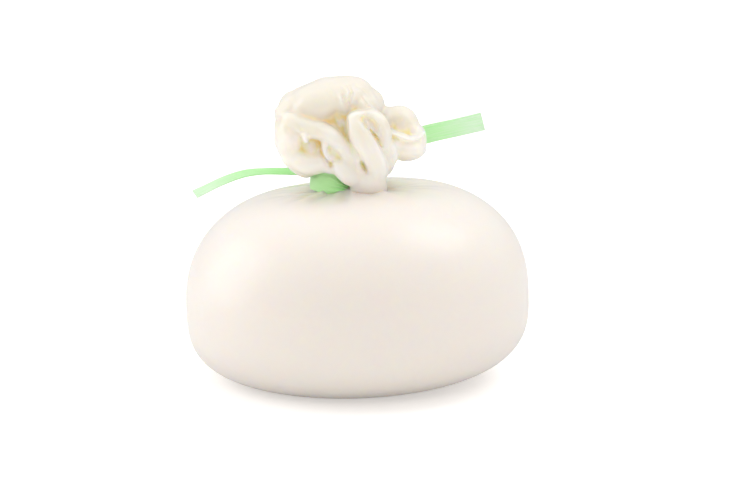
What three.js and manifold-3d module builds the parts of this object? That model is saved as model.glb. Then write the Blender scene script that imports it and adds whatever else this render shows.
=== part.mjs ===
// A burrata: a pouch of stretched curd, gathered at the top, tied with a flat ribbon and
// folded over itself into a crumpled head. Millimetres, +Z up, origin at the centre of the
// flat patch that it rests on, X across the folded front of the head, -Y towards it.

import * as THREE from 'three';
import { mergeVertices } from 'three/addons/utils/BufferGeometryUtils.js';
import Module from 'manifold-3d';

const wasm = await Module();
wasm.setup();

// ---- Driving dimensions ----

// the full pouch below the tie
const BODY_LENGTH = 92;           // along X
const BODY_DEPTH = 88;            // along Y
const CROWN_HEIGHT = 33.2;        // from the widest girth up to the gathered top
const BELLY_HEIGHT = 22.2;        // from the widest girth down
const CROWN_EXPONENTS = [2.27, 2.53];   // 2 is an ellipse, higher is squarer: left, right
const BELLY_EXPONENTS = [3.25, 2.85];   // lower half, where the weight spreads it
const BODY_LEAN = 1.3;            // degrees, right side up
const BASE_SINK = 1.05;           // how far the soft underside is flattened
const BODY_SIDES = 54;
const BODY_ROWS = 28;

// the tie, and the pleats that run into it
const TIE = new THREE.Vector3(-2.6, 0, 53);   // head coordinates start here
const NECK_OFFSET = -0.6;         // the neck's centre in head coordinates, along X
const NECK_RADIUS = 7.4;
const CHANNEL = { inner: 7.1, outer: 9.2, low: -2.7, high: 4.6 };
const HOLLOW_DEPTH = 2.8;         // the broad hollow round the neck
const HOLLOW_REACH = 21.5;
const DIMPLE_DEPTH = 1.3;         // the narrow one inside it
const DIMPLE_RADIUS = 6;
const DIMPLE_REACH = 4.2;
const PLEAT_HEIGHT = 0.3;
const PLEAT_REACH = 6.5;
const PLEAT_RADIUS = 11;
// valleys that run in to the neck: bearing in degrees, depth, half width in degrees, reach
const VALLEYS = [
  [2, 1.7, 14, 21], [35, 0.7, 10, 14], [62, 1.1, 10, 16], [92, 0.9, 9, 13],
  [128, 1.1, 11, 17], [160, 0.8, 9, 14], [184, 1.2, 13, 17], [216, 0.7, 9, 12],
  [248, 0.5, 8, 9], [292, 0.5, 8, 10], [326, 0.6, 9, 13],
];

// the ribbon
const RIBBON_WIDTH = 5;
const RIBBON_THICKNESS = 0.5;
const WRAP_RADIUS = 8.15;
const BACK = Math.PI / 2;         // the knot sits on the +Y side
const CLEARANCE = 0.35;           // free space between the ribbon and the curd

// fineness of the solids
const FOLD_SIDES = 10;
const FOLD_STEPS = 11;
const LUMP_SIDES = 15;
const LUMP_STEPS = 10;
const STRAP_STEPS = 26;
const WRAP_STEPS = 44;

// ---- Helpers ----

/** A closed three.js geometry as a solid that can be joined and cut. */
function toSolid(geometry) {
  const bare = geometry.clone();
  bare.deleteAttribute('normal');
  bare.deleteAttribute('uv');
  const merged = mergeVertices(bare, 1e-4);
  return new wasm.Manifold(new wasm.Mesh({
    numProp: 3,
    vertProperties: new Float32Array(merged.attributes.position.array),
    triVerts: new Uint32Array(merged.index.array),
  }));
}

/** A solid back to a three.js geometry. */
function toGeometry(solid) {
  const mesh = solid.getMesh();
  const geometry = new THREE.BufferGeometry();
  geometry.setAttribute('position', new THREE.BufferAttribute(mesh.vertProperties, 3));
  geometry.setIndex(new THREE.BufferAttribute(mesh.triVerts, 1));
  return geometry;
}

/** Moves each point of a geometry to place(x, y, z), which returns a Vector3. */
function reshape(geometry, place) {
  const points = geometry.attributes.position;
  for (let i = 0; i < points.count; i += 1) {
    const p = place(points.getX(i), points.getY(i), points.getZ(i));
    points.setXYZ(i, p.x, p.y, p.z);
  }
  return geometry;
}

function signedPower(value, exponent) {
  return Math.sign(value) * Math.abs(value) ** exponent;
}

/** The path through stations [x, y, z, ...] and the same places as fractions of its length. */
function track(stations) {
  const points = stations.map(([x, y, z]) => new THREE.Vector3(x, y, z));
  const curve = new THREE.CatmullRomCurve3(points, false, 'catmullrom', 0.5);
  const reach = [0];
  for (let i = 1; i < points.length; i += 1) {
    reach.push(reach[i - 1] + points[i].distanceTo(points[i - 1]));
  }
  const fractions = reach.map((length) => length / reach[reach.length - 1]);
  return { curve, fractions };
}

/** The value at fraction t of a column given at the stations. */
function atStation(fractions, column, t) {
  let i = 0;
  while (i < fractions.length - 2 && fractions[i + 1] < t) i += 1;
  const part = (t - fractions[i]) / (fractions[i + 1] - fractions[i]);
  return THREE.MathUtils.lerp(column[i], column[i + 1], THREE.MathUtils.clamp(part, 0, 1));
}

/**
 * A fold of curd: a unit sphere bent along the path through stations
 * [x, y, z, half thickness, half depth]. The depth lies along `depthAxis`, turned square to
 * the path. `blunt` keeps the full section up to the ends, `square` flattens its sides.
 */
function fold(stations, { depthAxis = [0, 1, 0], blunt = 4, square = 2.4 } = {}) {
  const { curve, fractions } = track(stations);
  const thickness = stations.map((s) => s[3]);
  const depth = stations.map((s) => s[4]);
  const wanted = new THREE.Vector3(...depthAxis);
  const bent = reshape(new THREE.SphereGeometry(1, FOLD_SIDES, FOLD_STEPS), (x, y, z) => {
    const t = (1 - y) / 2;
    const centre = curve.getPointAt(t);
    const tangent = curve.getTangentAt(t);
    const deep = wanted.clone().addScaledVector(tangent, -wanted.dot(tangent)).normalize();
    const side = new THREE.Vector3().crossVectors(tangent, deep);
    const taper = Math.max(0, 1 - Math.abs(2 * t - 1) ** blunt) ** (1 / blunt);
    const angle = Math.atan2(x, z);
    const a = atStation(fractions, thickness, t) * taper * signedPower(Math.cos(angle), 2 / square);
    const b = atStation(fractions, depth, t) * taper * signedPower(Math.sin(angle), 2 / square);
    return centre.addScaledVector(side, a).addScaledVector(deep, b);
  });
  return toSolid(bent);
}

/** A rounded lump: an ellipsoid at `centre` with half sizes `half`, turned in degrees. */
function lump(centre, half, [turnX, turnY] = [0, 0]) {
  const turn = new THREE.Euler(THREE.MathUtils.degToRad(turnX), THREE.MathUtils.degToRad(turnY), 0);
  const ball = new THREE.SphereGeometry(1, LUMP_SIDES, LUMP_STEPS);
  return toSolid(reshape(ball, (x, y, z) => new THREE.Vector3(x, z, y)
    .multiply(new THREE.Vector3(-half[0], half[1], half[2]))
    .applyEuler(turn)
    .add(new THREE.Vector3(...centre))));
}

/** A flat strap: a thin box bent along stations [x, y, z], its width along widthAxes[i]. */
function strap(stations, widthAxes, spare) {
  const { curve, fractions } = track(stations);
  const box = new THREE.BoxGeometry(1, 1, 1, STRAP_STEPS, 1, 1);
  return toSolid(reshape(box, (x, y, z) => {
    const t = x + 0.5;
    const tangent = curve.getTangentAt(t);
    const axis = new THREE.Vector3(
      atStation(fractions, widthAxes.map((w) => w[0]), t),
      atStation(fractions, widthAxes.map((w) => w[1]), t),
      atStation(fractions, widthAxes.map((w) => w[2]), t),
    );
    const wide = axis.addScaledVector(tangent, -axis.dot(tangent)).normalize();
    const thin = new THREE.Vector3().crossVectors(tangent, wide);
    return curve.getPointAt(t)
      .addScaledVector(wide, y * (RIBBON_WIDTH + 2 * spare))
      .addScaledVector(thin, z * (RIBBON_THICKNESS + 2 * spare));
  }));
}

function join(solids) {
  return solids.reduce((whole, next) => whole.add(next));
}

function cut(solid, tools) {
  return tools.reduce((whole, tool) => whole.subtract(tool), solid);
}

/** The largest closed shell alone: pockets sealed between folds are filled, scraps dropped. */
function outerShell(solid) {
  const shells = solid.decompose();
  return shells.reduce((best, next) => (next.volume() > best.volume() ? next : best));
}

// ---- The pouch: a squashed, slightly leaning ball with pleats that run into the neck ----

function bodySolid() {
  const lean = THREE.MathUtils.degToRad(BODY_LEAN);
  const ball = new THREE.SphereGeometry(1, BODY_SIDES, BODY_ROWS);
  return toSolid(reshape(ball, (x, y, z) => {
    const latitude = Math.asin(THREE.MathUtils.clamp(y, -1, 1));
    const around = Math.atan2(-z, x);
    const rightness = (1 + Math.cos(around)) / 2;
    const exponents = latitude < 0 ? BELLY_EXPONENTS : CROWN_EXPONENTS;
    const power = 2 / THREE.MathUtils.lerp(exponents[0], exponents[1], rightness);
    const height = latitude < 0 ? BELLY_HEIGHT : CROWN_HEIGHT;
    const reach = Math.cos(latitude) ** power;
    const flatX = (BODY_LENGTH / 2) * reach * Math.cos(around);
    const flatZ = height * signedPower(Math.sin(latitude), power);
    const p = new THREE.Vector3(
      flatX * Math.cos(lean) - flatZ * Math.sin(lean),
      (BODY_DEPTH / 2) * reach * Math.sin(around),
      flatX * Math.sin(lean) + flatZ * Math.cos(lean) + BELLY_HEIGHT,
    );
    if (p.z > BELLY_HEIGHT) p.z += gather(p.x - TIE.x - NECK_OFFSET, p.y);
    p.z = Math.max(p.z - BASE_SINK, 0);
    return p;
  }));
}

/** Height of the gathered top at x, y from the neck's centre. */
function gather(x, y) {
  const r = Math.hypot(x, y);
  const a = Math.atan2(y, x);
  const waves = Math.cos(14 * a + 0.5 * Math.sin(3 * a)) + 0.6 * Math.cos(23 * a + 2);
  const pleats = PLEAT_HEIGHT * waves * Math.exp(-(((r - PLEAT_RADIUS) / PLEAT_REACH) ** 2));
  const hollow = HOLLOW_DEPTH * Math.exp(-((r / HOLLOW_REACH) ** 3));
  const dimple = DIMPLE_DEPTH * Math.exp(-((Math.max(r - DIMPLE_RADIUS, 0) / DIMPLE_REACH) ** 2));
  const valleys = VALLEYS.map(([bearing, depth, halfWidth, reach]) => {
    const turn = Math.atan2(
      Math.sin(a - THREE.MathUtils.degToRad(bearing)),
      Math.cos(a - THREE.MathUtils.degToRad(bearing)),
    );
    const across = (turn / THREE.MathUtils.degToRad(halfWidth))
      * Math.sqrt(Math.max(r, 1) / PLEAT_RADIUS);
    return depth * Math.exp(-((r / reach) ** 3)) * Math.exp(-(across ** 2));
  });
  return pleats - hollow - dimple - valleys.reduce((sum, depth) => sum + depth, 0);
}

// ---- The head: folds of the sheet above the tie, in head coordinates ----

function headFolds() {
  const neck = fold([
    [NECK_OFFSET, 0, -10, NECK_RADIUS, NECK_RADIUS],
    [NECK_OFFSET, 0, 8, NECK_RADIUS, NECK_RADIUS],
  ], { blunt: 10, square: 2 });
  const core = lump([0.4, 1.5, 9.6], [10.5, 9.5, 8.8]);
  const dome = [
    lump([-5.5, 0, 21.3], [13, 13, 6.5], [0, -15]),
    lump([2.9, 1.5, 21.5], [7, 12, 6.2], [0, 14]),
  ];
  const leftCheek = [
    lump([-11.8, -2, 12.3], [7.7, 9.2, 6.6]),
    lump([-11.3, -1.5, 8], [7.2, 9, 7.2]),
    lump([-15.4, -3.8, 11.2], [3.8, 8.3, 5.2]),
    lump([-14.6, -4.4, 14], [4, 8.4, 4]),
    lump([-16.2, -2, 18.1], [3, 7.6, 2.6]),
  ];
  // from the back round the left side, then down the front to the neck
  const longRoll = [
    fold([
      [-7, 12, 17.5, 1.8, 2],
      [-12.5, 10, 16.5, 2.2, 3],
      [-15.7, 4, 15.6, 2.4, 3],
      [-16.2, -3, 15.2, 2.4, 3.4],
      [-14.5, -8, 16.6, 2.3, 3.6],
    ], { depthAxis: [1, 0.4, 0] }),
    fold([
      [-16.4, -7.6, 17.3, 1.8, 3],
      [-12.8, -9.4, 16.9, 2.3, 4],
      [-9.5, -10.8, 15.9, 2.3, 4],
      [-5.7, -11.4, 14.9, 2.2, 4],
      [-2.6, -11.6, 12.8, 2, 4],
      [-0.2, -11.2, 9.7, 2, 4],
      [1.5, -10.8, 6.1, 2.2, 3.4],
      [2.9, -9.6, 1.6, 2, 2.4],
    ]),
  ];
  const lowLobe = fold([
    [-16.5, -4.4, 9.8, 2.8, 5],
    [-13.7, -7.4, 7.3, 3.2, 5],
    [-10.1, -9.2, 6.5, 3.2, 5],
    [-6.8, -9.6, 6.8, 2.6, 5],
    [-4.6, -9.6, 5.4, 1.4, 3],
  ]);
  const curl = fold([
    [-5.6, -12.2, 14.7, 1.3, 3],
    [-5.7, -13, 12.6, 1.2, 3],
    [-5.4, -13.4, 10.5, 1, 3],
    [-4.2, -13.5, 8.7, 0.9, 3],
    [-2.6, -13.4, 8, 0.9, 3],
    [-1.1, -13, 8.8, 1, 3],
    [-0.5, -12.2, 10.2, 1, 3],
  ]);
  const chin = fold([
    [-1.4, -12, 7.4, 1.7, 3],
    [-1.6, -11.8, 5.8, 2.2, 3.4],
    [0.2, -11.4, 3.8, 2.5, 3],
    [2.2, -10.6, 1.3, 2.1, 2.2],
  ]);
  // one hairpin of the sheet: a thick front leg, and a broader leg behind it
  const hairpinFront = fold([
    [8, -9.6, 0.2, 2.2, 2.2],
    [8.2, -10.6, 3, 2.3, 3.2],
    [8, -11.6, 5.7, 2.4, 4],
    [6.8, -12.9, 8.7, 3.1, 4],
    [4.7, -13.7, 12.5, 2.9, 4],
    [3, -13.7, 15.6, 2.6, 4],
    [1.7, -13, 18.2, 1.8, 4],
    [2.7, -12.2, 19.8, 1, 4],
    [4.8, -11.6, 20.2, 0.7, 4],
  ], { square: 3.2 });
  const hairpinBack = fold([
    [3.9, -11.8, 20.2, 0.7, 4],
    [6.3, -11.4, 19.9, 0.9, 4],
    [8.5, -11, 18.3, 1.3, 4],
    [9.6, -10.6, 16, 1.6, 4],
    [10, -10, 12.6, 1.7, 4],
    [9.9, -9.6, 9.5, 1.8, 4],
    [9.7, -9.6, 6.2, 2, 3.4],
    [9.1, -9.2, 2.1, 2.1, 2.6],
  ], { square: 3 });
  const loopWall = lump([6.3, -10, 16], [3.4, 4.9, 4.9], [0, -25]);
  const pitFloor = lump([-1.8, -5, 13.8], [5, 6.6, 4.6]);
  const legWeb = fold([
    [1, -8.4, 12.4, 1.2, 4],
    [2.2, -9.8, 10.1, 1.6, 4],
    [3.1, -10.2, 7.4, 1.8, 4],
    [4.1, -9.8, 4.1, 1.8, 4],
  ]);
  // the hem of the front folds, hanging over the ribbon to the pouch
  const bib = fold([
    [5.6, -10.2, 4.4, 4.2, 3],
    [5.6, -9.8, 2.3, 4.8, 3],
    [5.6, -8.6, -1, 4.8, 2.8],
    [5.6, -8, -5, 4.8, 2.4],
  ], { blunt: 8 });
  // the cupped fold on the right: a far wall, a near wall and the neck side
  const ear = [
    lump([14.7, 0.6, 13.2], [6.2, 6.8, 7.2]),
    lump([15.8, -3, 9.2], [5.1, 7.9, 3.6], [0, -5]),
    lump([10.7, 0.5, 6.1], [3.2, 8.7, 5]),
    fold([
      [10.5, -7, 15.2, 0.8, 2.6],
      [11.8, -8.2, 14.8, 0.8, 2.6],
      [13.8, -8.9, 13.9, 0.8, 2.6],
      [15.9, -9, 12.9, 0.8, 2.6],
      [17.8, -8.4, 13.2, 0.8, 2.6],
      [19.5, -6, 14.2, 0.8, 2.6],
    ]),
  ];
  const strand = fold([
    [11.1, -9.6, 12.1, 0.9, 3],
    [12.5, -9.6, 10.4, 1, 3],
    [12.7, -9, 7.9, 1, 3],
    [11.6, -8.4, 5.4, 0.9, 3],
    [10.5, -7.6, 3, 0.8, 3],
  ]);
  const backFolds = [
    fold([
      [-4, 4, 3, 4.4, 4],
      [-10, 8.5, 7.5, 4.4, 4],
      [-12.5, 10.5, 12.5, 4.4, 4],
      [-10, 9, 18, 4.4, 4],
      [-5, 4, 22, 4.4, 4],
    ]),
    fold([
      [-1, 5, 3, 4.4, 3.8],
      [-1.5, 11, 7.5, 4.4, 3.8],
      [-1, 12.5, 14, 4.4, 3.8],
      [-1, 8, 21, 4.4, 3.8],
    ]),
    fold([
      [3, 5, 3, 4.2, 3.8],
      [7, 9.5, 7.5, 4.2, 3.8],
      [8, 11, 13, 4.2, 3.8],
      [6, 7, 19, 4.2, 3.8],
    ]),
  ];
  return [
    neck, core, ...dome, ...leftCheek, ...longRoll, lowLobe, curl, chin, hairpinFront,
    hairpinBack, loopWall, pitFloor, legWeb, bib, ...ear, strand, ...backFolds,
  ];
}

/** The creases and hollows between the folds, in head coordinates. */
function headHollows() {
  const leftHollow = [
    fold([
      [-11.9, -13.4, 11.8, 0.9, 3.6],
      [-10.3, -12.8, 11.5, 1.1, 4.2],
      [-8.4, -12.7, 12, 1.3, 4.8],
      [-6.6, -12.1, 11.9, 1.2, 5.4],
      [-5.5, -12.6, 9.6, 0.5, 4.4],
      [-4, -13.3, 7.6, 0.2, 3.2],
    ]),
    lump([-9, -14, 12.3], [1.6, 3.6, 1.1]),
  ];
  const curlHollow = lump([-2.8, -16.8, 10.2], [1.4, 3.4, 1.1], [0, 12]);
  const lowSlit = lump([4.5, -16.5, 6.3], [0.8, 5.5, 2.1], [0, -28]);
  const loopSlit = fold([
    [4.9, -14.4, 17.5, 0.3, 3.6],
    [6.1, -13.4, 15.9, 0.5, 4.6],
    [7.4, -13.4, 14.1, 0.5, 4.2],
    [8.7, -13.6, 11.5, 0.2, 3.2],
  ], { blunt: 2.5 });
  const earCup = [
    lump([14.9, -7.6, 15.6], [4.9, 4.4, 3.7], [-12, 6]),
    lump([12.3, -8, 15.4], [1.8, 5.2, 1.7], [0, 14]),
  ];
  return [
    ...leftHollow, curlHollow, lowSlit, loopSlit, ...earCup, tieChannel(),
  ];
}

/** The ring of free space round the neck where the ribbon lies. */
function tieChannel() {
  const { inner, outer, low, high } = CHANNEL;
  const section = [[inner, low], [outer, low], [outer, high], [inner, high], [inner, low]];
  const ring = new THREE.LatheGeometry(section.map(([r, z]) => new THREE.Vector2(r, z)), 48);
  ring.rotateX(Math.PI / 2);
  ring.translate(NECK_OFFSET, 0, 0);
  return toSolid(ring);
}

function pouchSolid() {
  const head = cut(join(headFolds()), headHollows()).translate(TIE.toArray());
  return outerShell(bodySolid().add(head).subtract(ribbonSolid(CLEARANCE)));
}

// ---- The ribbon: one wrap round the neck, a flat knot behind, two free tails ----

/** Width and height of the wrap at an angle round the neck, gathered under the bib. */
function wrapBand(angle) {
  const degrees = (THREE.MathUtils.radToDeg(angle) + 720) % 360;
  const stops = [0, 90, 150, 200, 235, 262, 285, 300, 360];
  const widths = [4, 4.6, 4.6, 4.6, 5.6, 5.4, 1.8, 1.8, 4];
  const heights = [0.9, 1.5, 1, 1, 1.3, 1.1, 0.2, 0.3, 0.9];
  return {
    width: atStation(stops, widths, degrees),
    height: atStation(stops, heights, degrees),
  };
}

/** The tied ribbon, grown by `spare` on every side where it has to be cut out of the curd. */
function ribbonSolid(spare = 0) {
  const gap = 0.3;                // radians left open inside the knot
  const wrap = reshape(new THREE.BoxGeometry(1, 1, 1, WRAP_STEPS, 1, 1), (x, y, z) => {
    const angle = BACK + gap / 2 + (x + 0.5) * (2 * Math.PI - gap);
    const { width, height } = wrapBand(angle);
    const r = WRAP_RADIUS + z * (RIBBON_THICKNESS + 2 * spare);
    const rise = height + y * (width + 2 * spare);
    return new THREE.Vector3(NECK_OFFSET + r * Math.cos(angle), r * Math.sin(angle), rise);
  });
  const knot = lump([NECK_OFFSET, 8.9, 1.6], [3.2 + spare, 1.3 + spare, 2.6 + spare]);
  const leftTail = strap([
    [-1, 9.6, 1.6], [-4, 11.5, 1.3], [-9.4, 12.4, 1.1], [-16.9, 12.8, 0.9],
    [-23.2, 12.9, 0.8], [-28.5, 12, 0.3], [-34.2, 10.3, -1.4], [-41.5, 8.3, -4.7],
  ], [[0, 0.2, 1], [0, 0.8, 0.5], [0, 0.95, 0.3], [0, 1, 0.16], [0, 1, 0.18], [0.1, 1, 0.3],
    [0.2, 1, 0.4], [0.2, 1, 0.42]], spare);
  const rightTail = strap([
    [-1, 9.6, 1.6], [4, 13.2, 2.6], [9, 15.4, 5.4], [15.5, 15.6, 8.8], [22.3, 14.6, 11],
    [29, 13.4, 12.7], [36.5, 12.4, 14.6],
  ], [[0, 0.2, 1], [-0.2, 0.1, 1], [-0.25, 0.1, 1], [-0.25, 0, 1], [-0.25, 0, 1],
    [-0.25, -0.1, 1], [-0.22, -0.15, 1]], spare);
  return join([toSolid(wrap), knot, leftTail, rightTail]).translate(TIE.toArray());
}

// ---- The object ----

function piece(name, solid, color, roughness) {
  const material = new THREE.MeshStandardMaterial({ color, roughness, metalness: 0 });
  const mesh = new THREE.Mesh(toGeometry(solid), material);
  mesh.name = name;
  return mesh;
}

const burrata = new THREE.Group();
burrata.add(piece('pouch', pouchSolid(), 0xf6efe2, 0.35));
burrata.add(piece('ribbon_tie', ribbonSolid(), 0xb9ecb0, 0.5));

export default burrata;
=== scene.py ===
"""A burrata: a pouch of stretched curd, gathered, folded over itself and tied with a ribbon.

The pouch is a squashed ball worked out on a grid of latitudes and longitudes, with pleats and
a shallow hollow round its neck. The crumpled head above the tie is made of folds: each is a
unit ball bent along a smooth path, with a section given at a few stations. The folds are
fused, the creases are pressed in, and the head is joined to the pouch as one skin. Lengths are
millimetres, except in the studio, and the meshes are written in metres.
"""

import math

import bmesh
import bpy
import numpy as np
from mathutils import Euler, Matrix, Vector


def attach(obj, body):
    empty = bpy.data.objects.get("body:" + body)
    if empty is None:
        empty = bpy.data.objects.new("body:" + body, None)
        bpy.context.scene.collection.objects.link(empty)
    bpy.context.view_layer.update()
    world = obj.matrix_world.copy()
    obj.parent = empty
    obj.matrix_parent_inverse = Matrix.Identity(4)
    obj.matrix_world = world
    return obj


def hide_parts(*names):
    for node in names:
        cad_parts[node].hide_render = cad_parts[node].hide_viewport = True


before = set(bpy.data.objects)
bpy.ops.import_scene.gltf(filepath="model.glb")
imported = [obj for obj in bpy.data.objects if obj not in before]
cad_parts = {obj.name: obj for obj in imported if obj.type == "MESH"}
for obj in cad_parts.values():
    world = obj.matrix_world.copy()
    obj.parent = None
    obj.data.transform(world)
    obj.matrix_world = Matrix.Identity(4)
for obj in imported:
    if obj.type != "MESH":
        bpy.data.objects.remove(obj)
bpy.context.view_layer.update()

# ---- Camera -----------------------------------------------------------------------------
# A long lens a little above the height of the cheese, far enough back that the round pouch
# keeps its true outline.

MM = 0.001
LENS = 100.0
SENSOR_WIDTH = 36.0
NEAREST_SEEN = 10.0
CAMERA_DISTANCE = 558.0
CAMERA_HEIGHT_ANGLE = math.radians(11.0)
AIM = Vector((4.7, 0.0, 34.5))

camera_data = bpy.data.cameras.new("camera")
camera_data.lens = LENS
camera_data.sensor_width = SENSOR_WIDTH
camera_data.clip_start = NEAREST_SEEN * MM
camera = bpy.data.objects.new("camera", camera_data)
bpy.context.scene.collection.objects.link(camera)
towards_camera = Vector((0.0, -math.cos(CAMERA_HEIGHT_ANGLE), math.sin(CAMERA_HEIGHT_ANGLE)))
camera.location = (AIM + towards_camera * CAMERA_DISTANCE) * MM
camera.rotation_euler = towards_camera.to_track_quat("Z", "Y").to_euler()
bpy.context.scene.camera = camera

# ---- Studio -----------------------------------------------------------------------------
# A white table in a white room that is brighter behind and above than in front. A large soft
# box stands on the left, a smaller one hangs on the right, and a third one above the viewer
# fills the front. Places and sizes in the studio are metres.

FLOOR_RADIUS = 2.6
FLOOR_SIDES = 96
FLOOR_WHITE = (0.78, 0.775, 0.77, 1.0)
FLOOR_GLOW = (1.0, 0.97, 0.94, 1.0)
FLOOR_GLOW_STRENGTHS = (0.08, 0.46)  # towards the cheese, and towards the viewer
CHEESE_MIDDLE = (0.0, 0.0, 0.05)
FRONT_TO_BACK = (0.52, 1.12)         # brightness of the room's walls
LOW_TO_HIGH = (0.8, 1.4)
MIDDLE_BEHIND = (1.0, 0.85)
BACKDROP_STRENGTH = 1.05


def new_mesh_object(name, points, faces, smooth=True):
    """A mesh object from an array of points, in metres, and lists of face corners."""
    mesh = bpy.data.meshes.new(name)
    mesh.from_pydata(np.asarray(points).tolist(), [], faces)
    mesh.shade_smooth() if smooth else mesh.shade_flat()
    made = bpy.data.objects.new(name, mesh)
    bpy.context.scene.collection.objects.link(made)
    return made


def ramp(tree, value, given, result):
    """Maps the value socket from the span given to the span result, and holds the ends."""
    made = tree.nodes.new("ShaderNodeMapRange")
    for side, span in (("From", given), ("To", result)):
        made.inputs[side + " Min"].default_value = span[0]
        made.inputs[side + " Max"].default_value = span[1]
    tree.links.new(value, made.inputs["Value"])
    return made.outputs["Result"]


def maths(tree, operation, *values):
    """A Math node on the values, each a number or an output socket."""
    made = tree.nodes.new("ShaderNodeMath")
    made.operation = operation
    for socket, value in zip(made.inputs, values):
        if isinstance(value, float):
            socket.default_value = value
        else:
            tree.links.new(value, socket)
    return made.outputs[0]


turns = np.linspace(0.0, 2.0 * math.pi, FLOOR_SIDES, endpoint=False)
rim = np.stack([np.cos(turns), np.sin(turns), np.zeros(FLOOR_SIDES)], axis=1) * FLOOR_RADIUS
floor = new_mesh_object("floor", rim, [list(range(FLOOR_SIDES))], smooth=False)

floor_paint = bpy.data.materials.new("white_table")
floor_paint.use_nodes = True
floor_tree = floor_paint.node_tree
floor_seen = floor_tree.nodes.new("ShaderNodeLightPath").outputs["Is Camera Ray"]
floor_glow = ramp(floor_tree, floor_seen, (0.0, 1.0), FLOOR_GLOW_STRENGTHS)
floor_shader = floor_tree.nodes["Principled BSDF"]
floor_shader.inputs["Base Color"].default_value = FLOOR_WHITE
floor_shader.inputs["Emission Color"].default_value = FLOOR_GLOW
floor_tree.links.new(floor_glow, floor_shader.inputs["Emission Strength"])
floor_shader.inputs["Roughness"].default_value = 0.6
floor_shader.inputs["Specular IOR Level"].default_value = 0.2
floor.data.materials.append(floor_paint)


def soft_box(name, place, size, power, gloss=True):
    """A rectangular area light at place that is turned towards the cheese. Without gloss it
    isn't mirrored in wet surfaces."""
    lamp = bpy.data.lights.new(name, "AREA")
    lamp.shape = "RECTANGLE"
    lamp.size, lamp.size_y = size
    lamp.energy = power
    box = bpy.data.objects.new(name, lamp)
    bpy.context.scene.collection.objects.link(box)
    box.location = place
    box.visible_glossy = gloss
    away = Vector(place) - Vector(CHEESE_MIDDLE)
    box.rotation_euler = away.to_track_quat("Z", "Y").to_euler()


soft_box("soft_box_left", (-0.8, 0.1, 0.3), (0.7, 0.7), power=2.1)
soft_box("soft_box_right", (0.5, 0.05, 0.8), (0.5, 0.5), power=1.5)
soft_box("soft_box_front", (0.05, -1.0, 0.48), (0.6, 0.5), power=2.6, gloss=False)

room = bpy.data.worlds.new("white_room")
bpy.context.scene.world = room
room.use_nodes = True
room_tree = room.node_tree
room_tree.nodes.clear()
direction = room_tree.nodes.new("ShaderNodeTexCoord")
split = room_tree.nodes.new("ShaderNodeSeparateXYZ")
room_tree.links.new(direction.outputs["Generated"], split.inputs[0])
front_to_back = ramp(room_tree, split.outputs["Y"], (-0.9, 0.3), FRONT_TO_BACK)
low_to_high = ramp(room_tree, split.outputs["Z"], (0.0, 1.0), LOW_TO_HIGH)
middle_behind = ramp(room_tree, split.outputs["Y"], (0.75, 0.95), MIDDLE_BEHIND)
walls = maths(room_tree, "MULTIPLY", front_to_back, low_to_high)
room_light = room_tree.nodes.new("ShaderNodeBackground")
room_strength = maths(room_tree, "MULTIPLY", walls, middle_behind)
room_tree.links.new(room_strength, room_light.inputs["Strength"])
backdrop = room_tree.nodes.new("ShaderNodeBackground")
backdrop.inputs["Color"].default_value = (1.0, 1.0, 1.0, 1.0)
backdrop.inputs["Strength"].default_value = BACKDROP_STRENGTH
room_seen = room_tree.nodes.new("ShaderNodeLightPath")
room_mix = room_tree.nodes.new("ShaderNodeMixShader")
room_out = room_tree.nodes.new("ShaderNodeOutputWorld")
room_tree.links.new(room_seen.outputs["Is Camera Ray"], room_mix.inputs["Fac"])
room_tree.links.new(room_light.outputs[0], room_mix.inputs[1])
room_tree.links.new(backdrop.outputs[0], room_mix.inputs[2])
room_tree.links.new(room_mix.outputs[0], room_out.inputs["Surface"])

bpy.context.scene.view_settings.view_transform = "Standard"

# ---- Pouch ------------------------------------------------------------------------------
# The full pouch below the tie: a smooth skin of stretched curd drawn tight over its soft
# filling, pressed flat where it rests, and gathered at the top into pleats that run into a
# shallow hollow round the neck.

BODY_LENGTH = 92.0
BODY_DEPTH = 88.0
CROWN_HEIGHT = 33.2
BELLY_HEIGHT = 22.2
CROWN_EXPONENTS = (2.27, 2.53)  # on the left and on the right
BELLY_EXPONENTS = (3.25, 2.85)
BODY_LEAN = math.radians(1.3)
BASE_SINK = 1.05
TIE = np.array([-2.6, 0.0, 53.0])
NECK_OFFSET = -0.6
HOLLOW_DEPTH = 2.8
HOLLOW_REACH = 21.5
PLEAT_RADIUS = 11.0
PLEAT_REACH = 6.5
PLEAT_HEIGHT = 0.3
FINE_PLEAT_SHARE = 0.6
PLEAT_COUNT = 14
FINE_PLEAT_COUNT = 23
PLEATS = [
    (2, -1.3, 14, 21), (35, -0.7, 10, 14), (62, -1.1, 10, 16), (92, -0.9, 9, 13),
    (128, -1.1, 11, 17), (160, -0.8, 9, 14), (184, -0.7, 13, 17), (212, -0.4, 8, 12),
    (230, 0.4, 12, 13), (278, 1.0, 16, 13), (268, 1.0, 6, 13), (292, 0.8, 10, 9),
    (305, 0.6, 24, 22), (326, -0.6, 9, 13), (349, -0.5, 6, 20), (14, -0.5, 6, 20),
]
BODY_SIDES = 270
BODY_ROWS = 136
ROW_CROWDING = 0.45


def signed_power(values, exponent):
    """The size of each value raised to the exponent, with the value's sign."""
    return np.sign(values) * np.abs(values) ** exponent


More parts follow.
